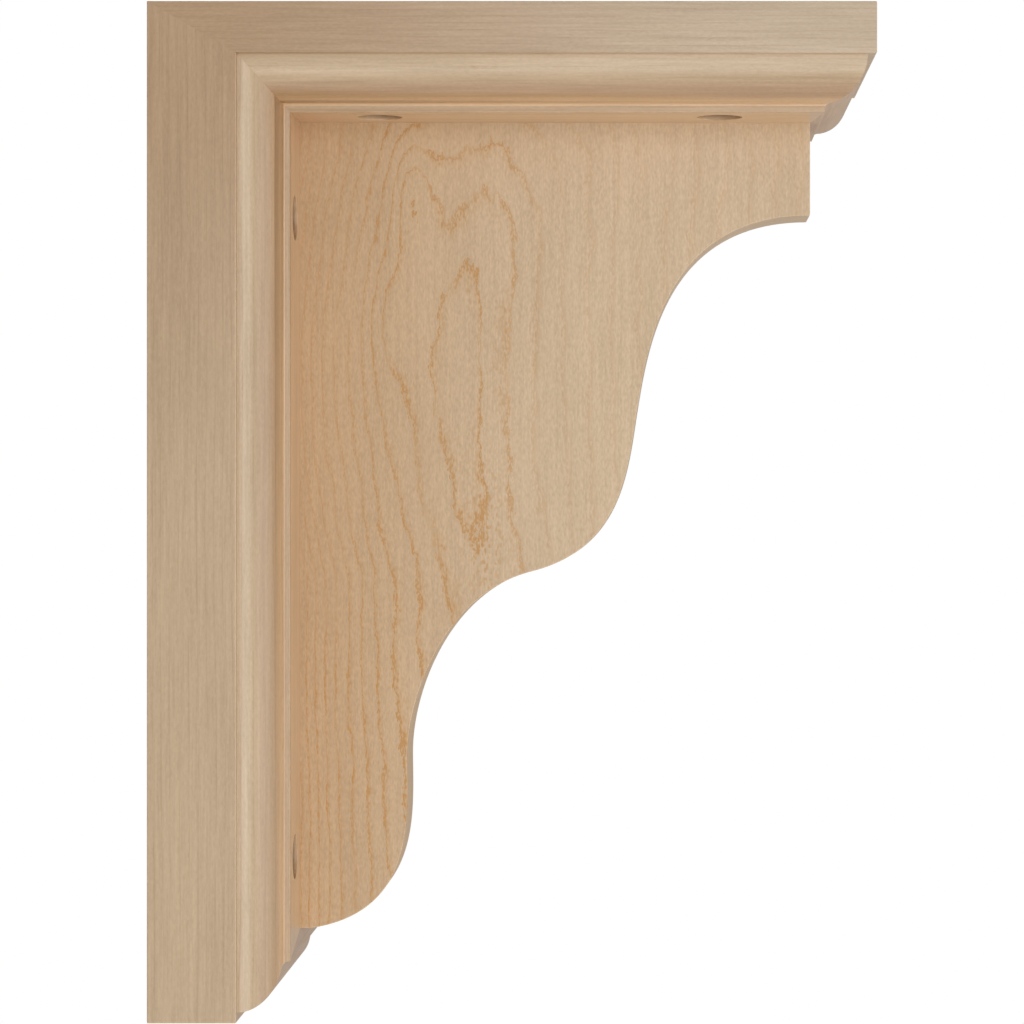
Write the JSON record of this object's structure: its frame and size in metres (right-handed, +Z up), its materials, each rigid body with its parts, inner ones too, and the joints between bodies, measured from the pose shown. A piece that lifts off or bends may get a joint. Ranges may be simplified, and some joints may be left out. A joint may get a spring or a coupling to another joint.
{
  "type": "wooden corbel bracket",
  "caption": "Maple corbel bracket for holding up a shelf or worktop: mitred L of boards, moulded inner frame and an upright web with a double scalloped edge.",
  "frame": {"origin": "centre of the back face, on the wall", "axes": "+X out from the wall, +Z up, Y across the bracket, which is the same on both sides of Y = 0"},
  "size_m": [0.254, 0.127, 0.3556],
  "materials": {
    "boards": "bare sanded maple",
    "mouldings": "bare sanded maple",
    "web": "bare sanded maple, figured"
  },
  "bodies": {
    "root": {"back_board": "boards", "top_board": "boards", "web": "web", "top_moulding_left": "mouldings", "top_moulding_right": "mouldings", "top_moulding_front": "mouldings", "back_moulding_left": "mouldings", "back_moulding_right": "mouldings", "back_moulding_foot": "mouldings"}
  },
  "joints": []
}
